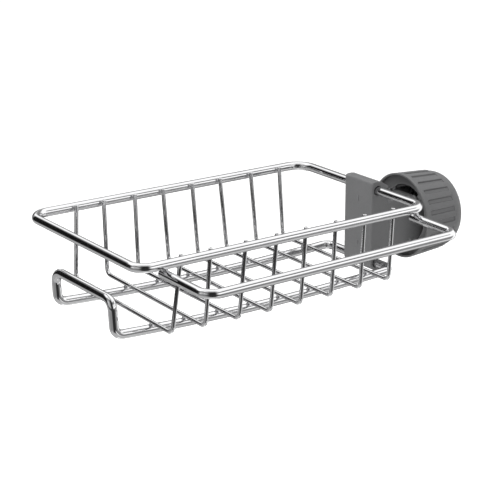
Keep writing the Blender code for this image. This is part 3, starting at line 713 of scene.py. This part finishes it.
def make_wires():
    """U-shaped wires with a weld bead at each crossing of the rim and of the floor frame."""
    wired_span = BASKET_RIGHT - BASKET_LEFT - FIRST_WIRE_INSET - LAST_WIRE_INSET
    pitch = wired_span / (len(WIRE_SHIFT_SHARES) - 1)
    for number, shares in enumerate(WIRE_SHIFT_SHARES, 1):
        even_x = BASKET_LEFT + FIRST_WIRE_INSET + (number - 1) * pitch
        rear_x, rear_foot_x, front_foot_x, front_x = [even_x + share * pitch for share in shares]
        rear_at_rim = Vector((rear_x, RIM_REAR - WIRE_OFFSET, RIM_Z))
        front_at_rim = Vector((front_x, RIM_FRONT + WIRE_OFFSET, rim_front_height(front_x)))
        rear_end, rear_foot = make_leg(rear_at_rim, rear_foot_x, rear_at_rim.y - WIRE_LEAN)
        front_end, front_foot = make_leg(front_at_rim, front_foot_x, front_at_rim.y + WIRE_LEAN)
        corners = [
            (rear_end, 0),
            (rear_foot, WIRE_BEND_RADIUS),
            (front_foot, WIRE_BEND_RADIUS),
            (front_end, 0),
        ]
        wire = tube(f"wire_{number}", rounded_path(corners), WIRE_RADIUS, tip=WIRE_TIP_ROUNDING)
        dress(wire, STEEL, "polished_steel", "basket", f"cross_wire_{number}")
        for side, place, outwards in (("front", front_at_rim, -1), ("rear", rear_at_rim, 1)):
            joint = place + Vector((0, outwards * (WIRE_RADIUS + SEAT_GAP / 2), 0))
            weld_bead(f"rim_bead_{side}_{number}", joint, RIM_BEAD)
        for side, y in (("front", FLOOR_FRONT), ("rear", FLOOR_REAR)):
            share = (y - front_foot.y) / (rear_foot.y - front_foot.y)
            joint = front_foot.lerp(rear_foot, share) - Vector((0, 0, WIRE_RADIUS + SEAT_GAP / 2))
            weld_bead(f"floor_bead_{side}_{number}", joint, FLOOR_BEAD)


def bracket_block():
    """The hook plate's outline from the side, wider than the bracket, before its slots are cut."""
    waist = THREAD_RADIUS / 2
    crest_x = BASKET_RIGHT + HOOK_CREST_WIDTH
    outline = rounded_outline([
        ((PLATE_FACE, bracket_low.z), HOOK_BOTTOM_RADIUS),
        ((LOWER_TIP, bracket_low.z), HOOK_TIP_RADIUS),
        ((LOWER_TIP, -waist), 0),
        ((UPPER_TIP, waist), 0),
        ((UPPER_TIP, RIM_Z + BEAK_TOP_RISE), HOOK_TIP_RADIUS),
        ((crest_x, bracket_high.z), HOOK_CREST_RADIUS),
        ((PLATE_FACE, bracket_high.z), HOOK_TOP_RADIUS),
    ])
    half_width = BRACKET_HALF_WIDTH + OVERRUN
    return prism("bracket_body", outline, -half_width, half_width, "Y")


def upper_channel():
    """The space for the rim's rod: round behind, open towards the pipe under the hook's beak."""
    around = arc((BASKET_RIGHT, RIM_Z), HOOK_BORE, BEAK_ANGLE, 3 * math.pi / 2)
    beak_z = around[0][1] - BEAK_DROP
    outline = [*around, (UPPER_TIP, RIM_Z - HOOK_BORE), (PAST_ARMS, RIM_Z - HOOK_BORE)]
    outline += [(PAST_ARMS, beak_z), (UPPER_TIP + OVERRUN, beak_z)]
    half_width = BRACKET_HALF_WIDTH + 2 * OVERRUN
    return prism("upper_channel", outline, -half_width, half_width, "Y")


def lower_channel():
    """The space for the floor frame's end rod, open towards the pipe."""
    around = arc((BASKET_RIGHT, FLOOR_Z), HOOK_BORE, math.pi / 2, 3 * math.pi / 2)
    outline = [*around, (PAST_ARMS, FLOOR_Z - HOOK_BORE), (PAST_ARMS, FLOOR_Z + HOOK_BORE)]
    half_width = BRACKET_HALF_WIDTH + 2 * OVERRUN
    return prism("lower_channel", outline, -half_width, half_width, "Y")


def thread_rise(x, angle, crest_width):
    """How far up a right-hand thread stands, from 0 at its root to 1 at its crest."""
    phase = (x / THREAD_PITCH - angle / (2 * math.pi)) % 1
    away = min(phase, 1 - phase) * THREAD_PITCH
    return 1 - min(max((away - crest_width / 2) / THREAD_FLANK, 0), 1)


def threaded_arms():
    """A threaded bar with a chamfered end, as a grid of rings with a flat face at each end."""
    root = THREAD_RADIUS - THREAD_DEPTH
    bm = bmesh.new()
    rings = []
    for x in spaced(THREAD_START - OVERRUN, ARM_REACH, THREAD_SPACING):
        limit = THREAD_RADIUS - max(x - ARM_REACH + THREAD_CHAMFER, 0)
        ring = []
        for angle in steps_between(0, 2 * math.pi, THREAD_STEPS)[:-1]:
            radius = min(root + THREAD_DEPTH * thread_rise(x, angle, THREAD_CREST), limit)
            ring.append(bm.verts.new((x, -radius * math.sin(angle), radius * math.cos(angle))))
        rings.append(ring)
    skin(bm, rings)
    for ring in (rings[0], rings[-1]):
        bm.faces.new(ring)
    return link_solid("arms", bm)


def make_nib(name, height):
    """A small upright mark standing on the plate's outer face."""
    half_width = NIB_WIDTH / 2
    outline = rectangle(half_width, NIB_LENGTH / 2, half_width / 2, height)
    return prism(name, outline, PLATE_FACE - NIB_HEIGHT, PLATE_FACE + OVERRUN, "X", NIB_EDGE_RADIUS)


def make_bracket():
    bracket = bracket_block()
    neck_start = (PLATE_FACE + SLOT_BOTTOM) / 2
    neck_radius = NECK_DIAMETER / 2
    neck = [(neck_start, 0), (neck_start, neck_radius), (THREAD_START, neck_radius), (THREAD_START, 0)]
    combine(bracket, turned("neck", neck), "UNION")
    combine(bracket, threaded_arms(), "UNION")
    plan = rounded_outline([
        ((PLATE_FACE, -BRACKET_HALF_WIDTH), PLATE_EDGE_RADIUS),
        ((PAST_ARMS, -BRACKET_HALF_WIDTH), 0),
        ((PAST_ARMS, BRACKET_HALF_WIDTH), 0),
        ((PLATE_FACE, BRACKET_HALF_WIDTH), PLATE_EDGE_RADIUS),
    ])
    low = bracket_low.z - OVERRUN
    high = bracket_high.z + OVERRUN
    combine(bracket, prism("plan", plan, low, high, "Z"), "INTERSECT")
    half_slot = SLOT_WIDTH / 2
    slot = rounded_outline([
        ((SLOT_BOTTOM, -half_slot), SLOT_CORNER_RADIUS),
        ((PAST_ARMS + OVERRUN, -half_slot), 0),
        ((PAST_ARMS + OVERRUN, half_slot), 0),
        ((SLOT_BOTTOM, half_slot), SLOT_CORNER_RADIUS),
    ])
    reach = neck_radius + OVERRUN
    combine(bracket, prism("pipe_slot", slot, -reach, reach, "Z"), "DIFFERENCE")
    combine(bracket, upper_channel(), "DIFFERENCE")
    combine(bracket, lower_channel(), "DIFFERENCE")
    soften(bracket, BRACKET_VOXEL, BRACKET_SMOOTH_FACTOR, BRACKET_SMOOTH_ROUNDS)
    nibs = [make_nib(f"nib_{side}", NIB_CENTRE_RISE + side * NIB_SPREAD / 2) for side in (-1, 1)]
    join(bracket, *nibs)
    dress(bracket, PLASTIC, "grey_plastic", "bracket", "bracket")


def make_jaw_pad():
    """A soft block in the bottom of the slot, hollowed for the pipe."""
    low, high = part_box("jaw_pad")
    pipe_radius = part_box("pressure_pad")[0].x
    half_width = high.y
    reach = math.asin(half_width / JAW_RADIUS)
    centre = (JAW_RADIUS - pipe_radius, 0)
    hollow = arc(centre, JAW_RADIUS, math.pi - reach, math.pi + reach)
    outline = rounded_outline([
        ((low.x, -half_width), SLOT_CORNER_RADIUS),
        *[(point, 0) for point in reversed(hollow)],
        ((low.x, half_width), SLOT_CORNER_RADIUS),
    ])
    pad = prism("jaw_cushion", outline, low.z, high.z, "Z", PAD_EDGE_RADIUS)
    dress(pad, RUBBER, "black_silicone", "bracket", "jaw_pad")


def smooth_step(value):
    share = min(max(value, 0), 1)
    return share * share * (3 - 2 * share)


def band_radius(x):
    """The knob's grooved band, which tapers from its mouth to its cap."""
    share = (x - KNOB_MOUTH) / KNOB_BAND_LENGTH
    return KNOB_MOUTH_RADIUS + (KNOB_BAND_END_DIAMETER / 2 - KNOB_MOUTH_RADIUS) * share


def groove_drop(x, across):
    """The depth of a finger groove at a place along the knob and across the groove."""
    past = KNOB_BAND_END + GROOVE_WIDTH
    start = KNOB_MOUTH + GROOVE_INSET
    half_length = (past - start) / 2
    along = abs(x - (past + start) / 2) - half_length + GROOVE_CORNER_RADIUS
    aside = abs(across) - GROOVE_WIDTH / 2 + GROOVE_CORNER_RADIUS
    outside = math.hypot(max(along, 0), max(aside, 0)) + min(max(along, aside), 0) - GROOVE_CORNER_RADIUS
    return GROOVE_DEPTH * smooth_step(0.5 - outside / GROOVE_EDGE_WIDTH)


def marked(kind, points):
    return [(x, radius, kind) for x, radius in points]


def knob_profile():
    """The knob's closed section as (x, radius, kind), where the kind says what is pressed into it."""
    lip_radius = KNOB_MOUTH_RADIUS - KNOB_LIP_WALL
    lip_end = KNOB_MOUTH + KNOB_LIP_DEPTH
    thread_start = lip_end + FUNNEL_DEPTH
    thread_root = THREAD_RADIUS - THREAD_DEPTH + THREAD_CLEARANCE
    edge = KNOB_LIP_RADIUS
    band_end = KNOB_BAND_END_DIAMETER / 2
    cap_radius = band_end - KNOB_CAP_STEP
    cap_length = KNOB_END - KNOB_BAND_END
    recess_radius = RECESS_DIAMETER / 2
    recess_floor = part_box("retaining_washer")[0].x - SEAT_GAP
    rounding = STEP_EDGE_RADIUS
    lip = arc((KNOB_MOUTH + edge, KNOB_MOUTH_RADIUS - edge), edge, math.pi, math.pi / 2)
    band = [
        (x, band_radius(x))
        for x in spaced(KNOB_MOUTH + 2 * edge, KNOB_BAND_END - rounding, BAND_SPACING)
    ]
    band_edge = (KNOB_BAND_END - rounding, band_end - rounding)
    band += arc(band_edge, rounding, math.pi / 2, 0, STEP_EDGE_STEPS)[1:]
    cap = [
        (
            KNOB_BAND_END + cap_length * math.sin(turn),
            cap_radius - KNOB_CAP_ROUNDING * (1 - math.cos(turn)),
        )
        for turn in steps_between(0, math.pi / 2, CAP_STEPS)
    ]
    recess_edge = (KNOB_END - rounding, recess_radius + rounding)
    recess = [
        *arc(recess_edge, rounding, 0, -math.pi / 2, STEP_EDGE_STEPS),
        (recess_floor, recess_radius),
        (recess_floor, SCREW_BORE),
        (KNOB_FLOOR, SCREW_BORE),
        (KNOB_FLOOR, thread_root),
    ]
    thread = [(x, thread_root) for x in spaced(KNOB_FLOOR, thread_start, THREAD_SPACING)]
    mouth = [
        (thread_start, THREAD_RADIUS + FUNNEL_CLEARANCE),
        (lip_end, lip_radius),
        (KNOB_MOUTH + rounding, lip_radius),
        (KNOB_MOUTH, lip_radius + rounding),
    ]
    return [
        *marked("plain", lip),
        *marked("band", band),
        *marked("plain", cap + recess),
        *marked("thread", thread),
        *marked("plain", mouth),
    ]


def groove_angles():
    """Angles round the knob, closer together along the grooves' edges."""
    half_pitch = math.pi / GROOVE_COUNT
    reach = GROOVE_WIDTH / 2 / KNOB_MOUTH_RADIUS
    edge = GROOVE_EDGE_WIDTH / KNOB_MOUTH_RADIUS
    places = steps_between(0, reach - edge, GROOVE_FLOOR_STEPS)[:-1]
    places += steps_between(reach - edge, reach + edge, GROOVE_EDGE_STEPS)
    places += steps_between(reach + edge, half_pitch, GROOVE_LAND_STEPS)[1:]
    offsets = [-place for place in reversed(places[1:-1])] + places
    return [
        (2 * number * half_pitch + offset, offset) for number in range(GROOVE_COUNT) for offset in offsets
    ]


def make_knob():
    """A cap with an open mouth, an inside thread and finger grooves, as a closed grid of rings."""
    profile = knob_profile()
    bm = bmesh.new()
    rings = []
    for turn, offset in groove_angles():
        angle = turn + math.pi / 2
        ring = []
        for x, radius, kind in profile:
            if kind == "band":
                radius -= groove_drop(x, offset * band_radius(x))
            if kind == "thread":
                radius += THREAD_DEPTH * thread_rise(x, angle, THREAD_CREST + 2 * THREAD_CLEARANCE)
            ring.append(bm.verts.new((x, -radius * math.sin(angle), radius * math.cos(angle))))
        rings.append(ring)
    skin(bm, [*rings, rings[0]])
    knob = link_solid("knob_shell", bm)
    dress(knob, PLASTIC, "grey_plastic", "knob", "knob")
    knob.data.set_sharp_from_angle(angle=SHARP_ANGLE)


def make_pressure_plate():
    """A plate that slides between the arms, with a filleted stem that the knob turns on."""
    low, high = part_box("pressure_plate")
    plate_back = low.x + PRESSURE_PLATE_THICKNESS
    outline = rectangle(high.y, high.z, PLATE_CORNER_RADIUS)
    plate = prism("push_plate", outline, low.x, plate_back, "X", PLATE_EDGE_ROUNDING)
    stem_radius = STEM_DIAMETER / 2
    fillet_centre = (plate_back + STEM_FILLET, stem_radius + STEM_FILLET)
    edge = PLATE_EDGE_ROUNDING
    stem = [
        (plate_back - OVERRUN, SCREW_BORE),
        (plate_back - OVERRUN, stem_radius + STEM_FILLET),
        *arc(fillet_centre, STEM_FILLET, math.pi, 3 * math.pi / 2),
        *arc((high.x - edge, stem_radius - edge), edge, math.pi / 2, 0),
        (high.x, SCREW_BORE),
    ]
    join(plate, turned("stem", stem, SMALL_TURNED_STEPS, closed=True))
    dress(plate, PLASTIC, "grey_plastic", "pressure", "pressure_plate")
    plate.data.set_sharp_from_angle(angle=SHARP_ANGLE)


def make_pressure_pad():
    low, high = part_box("pressure_pad")
    outline = rectangle(high.y, high.z, PLATE_CORNER_RADIUS)
    pad = prism("push_cushion", outline, low.x, high.x, "X", PAD_EDGE_RADIUS)
    dress(pad, RUBBER, "black_silicone", "pressure", "pressure_pad")


def make_washer():
    low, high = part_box("retaining_washer")
    edge = WASHER_EDGE_RADIUS
    quarter = math.pi / 2
    ring = [
        *arc((low.x + edge, SCREW_BORE + edge), edge, 2 * quarter, 3 * quarter, EDGE_SEGMENTS),
        *arc((high.x - edge, SCREW_BORE + edge), edge, 3 * quarter, 4 * quarter, EDGE_SEGMENTS),
        *arc((high.x - edge, high.z - edge), edge, 0, quarter, EDGE_SEGMENTS),
        *arc((low.x + edge, high.z - edge), edge, quarter, 2 * quarter, EDGE_SEGMENTS),
    ]
    washer = turned("washer_ring", ring, SMALL_TURNED_STEPS, closed=True)
    dress(washer, ZINC, "screw_steel", "pressure", "retaining_washer")


def make_screw():
    low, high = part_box("retaining_screw")
    shank = SCREW_DIAMETER / 2
    head_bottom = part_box("retaining_washer")[1].x + SEAT_GAP
    edge = SCREW_EDGE_RADIUS
    profile = [
        (low.x, 0),
        (low.x, shank / 2),
        (low.x + SCREW_TIP_LENGTH, shank),
        (head_bottom, shank),
        (head_bottom, high.z),
        *arc((high.x - edge, high.z - edge), edge, math.pi / 2, 0),
        (high.x, 0),
    ]
    screw = turned("screw_body", profile, SMALL_TURNED_STEPS)
    half_long = SCREW_CROSS_LENGTH / 2
    half_wide = SCREW_CROSS_WIDTH / 2
    quarter = [(half_wide, half_wide), (half_wide, half_long), (-half_wide, half_long)]
    cross = []
    for cosine, sine in ((1, 0), (0, 1), (-1, 0), (0, -1)):
        cross += [(a * cosine - b * sine, a * sine + b * cosine) for a, b in quarter]
    cutter = prism("cross", cross, high.x - SCREW_CROSS_DEPTH, high.x + OVERRUN, "X")
    combine(screw, cutter, "DIFFERENCE")
    dress(screw, ZINC, "screw_steel", "pressure", "retaining_screw")
    screw.data.set_sharp_from_angle(angle=SCREW_SHARP_ANGLE)


def make_camera():
    data = bpy.data.cameras.new("camera")
    data.sensor_width = CAMERA_SENSOR_MM
    data.lens = CAMERA_LENS_MM
    data.clip_end = CAMERA_CLIP_END
    camera = bpy.data.objects.new("camera", data)
    aim = Matrix.Translation(CAMERA_AIM)
    turn = Matrix.Rotation(CAMERA_AZIMUTH, 4, "Z")
    tilt = Matrix.Rotation(math.pi / 2 - CAMERA_ELEVATION, 4, "X")
    camera.matrix_world = aim @ turn @ tilt @ Matrix.Translation((0, 0, CAMERA_DISTANCE))
    bpy.context.scene.collection.objects.link(camera)
    bpy.context.scene.camera = camera


def square_light(name, place, side, power):
    """A lamp that faces the stage and that reflections don't see."""
    data = bpy.data.lights.new(name, "AREA")
    data.size = side
    data.energy = power
    light = bpy.data.objects.new(name, data)
    light.location = place
    light.rotation_euler = (STAGE_CENTRE - Vector(place)).to_track_quat("-Z", "Y").to_euler()
    light.visible_glossy = False
    bpy.context.scene.collection.objects.link(light)


def card_angles(first, last, fade):
    """Angles across a card in even steps, each with its share of the card's full strength."""
    first -= fade / 2
    last += fade / 2
    return [
        (math.radians(angle), smooth_step(min(angle - first, last - angle) / fade))
        for angle in steps_between(first, last, math.ceil((last - first) / CARD_STEP))
    ]


def glowing(name, base_colour, level):
    """A material without gloss that gives off white light."""
    material, tree, shader = node_material(name)
    shader.inputs["Base Color"].default_value = base_colour
    shader.inputs["Specular IOR Level"].default_value = 0
    shader.inputs["Emission Color"].default_value = WHITE
    shader.inputs["Emission Strength"].default_value = level
    return material, tree, shader


def reflection_card(distance, name, level, first_azimuth, last_azimuth, low_elevation, high_elevation):
    """A patch of a sphere round the stage, soft at its edges, that only reflections see."""
    bm = bmesh.new()
    fade = bm.verts.layers.float.new("fade")
    rows = []
    for turn, across in card_angles(first_azimuth, last_azimuth, CARD_SIDE_FADE):
        row = []
        for tilt, along in card_angles(low_elevation, high_elevation, CARD_RISE_FADE):
            away = distance * math.cos(tilt)
            place = Vector((away * math.cos(turn), away * math.sin(turn), distance * math.sin(tilt)))
            vert = bm.verts.new(STAGE_CENTRE + place)
            vert[fade] = across * along
            row.append(vert)
        rows.append(row)
    for one, other in zip(rows, rows[1:]):
        for step in range(len(one) - 1):
            bm.faces.new((one[step], other[step], other[step + 1], one[step + 1]))
    card = link_mesh(name, bm)
    material, tree, shader = glowing(name, BLACK, level)
    strength = tree.nodes.new("ShaderNodeAttribute")
    strength.attribute_name = "fade"
    tree.links.new(strength.outputs["Fac"], shader.inputs["Alpha"])
    card.data.materials.append(material)
    card.visible_camera = False
    card.visible_diffuse = False
    card.visible_shadow = False


def make_floor_disc():
    """A pale floor well below the object, whose place in reflections the cards take."""
    bm = bmesh.new()
    bmesh.ops.create_circle(bm, cap_ends=True, segments=FLOOR_DISC_STEPS, radius=FLOOR_DISC_RADIUS)
    floor = link_mesh("floor", bm)
    floor.location = (0, 0, -FLOOR_DROP)
    floor.visible_glossy = False
    material, _, shader = glowing("floor_white", (FLOOR_WHITE, FLOOR_WHITE, FLOOR_WHITE, 1), FLOOR_GLOW)
    shader.inputs["Roughness"].default_value = 1
    floor.data.materials.append(material)


def make_world():
    """White all round, a little dimmer as a light than it looks."""
    world = bpy.data.worlds.new("studio")
    world.use_nodes = True
    tree = world.node_tree
    seen = tree.nodes["Background"]
    seen.inputs["Color"].default_value = WHITE
    seen.inputs["Strength"].default_value = WORLD_SEEN
    light = tree.nodes.new("ShaderNodeBackground")
    light.inputs["Color"].default_value = WHITE
    coordinates = tree.nodes.new("ShaderNodeTexCoord")
    direction = tree.nodes.new("ShaderNodeSeparateXYZ")
    tree.links.new(coordinates.outputs["Generated"], direction.inputs["Vector"])
    front, rear = [share * WORLD_LIGHT for share in SIDE_LIGHT_SHARES]
    strength = spread(tree, direction.outputs["Y"], front, rear, from_low=-1, from_high=1)
    tree.links.new(strength, light.inputs["Strength"])
    path = tree.nodes.new("ShaderNodeLightPath")
    mix = tree.nodes.new("ShaderNodeMixShader")
    tree.links.new(path.outputs["Is Diffuse Ray"], mix.inputs["Fac"])
    tree.links.new(seen.outputs["Background"], mix.inputs[1])
    tree.links.new(light.outputs["Background"], mix.inputs[2])
    tree.links.new(mix.outputs["Shader"], tree.nodes["World Output"].inputs["Surface"])
    bpy.context.scene.world = world


def make_studio():
    bpy.context.scene.view_settings.view_transform = "Standard"
    make_world()
    make_floor_disc()
    for number, card in enumerate(REFLECTION_CARDS):
        reflection_card(CARD_DISTANCE + number * CARD_GAP, *card)
    for light in LIGHTS:
        square_light(*light)


make_camera()
make_rim()
make_floor()
make_towel_rail()
make_wires()
make_bracket()
make_jaw_pad()
make_knob()
make_pressure_plate()
make_pressure_pad()
make_washer()
make_screw()
make_studio()
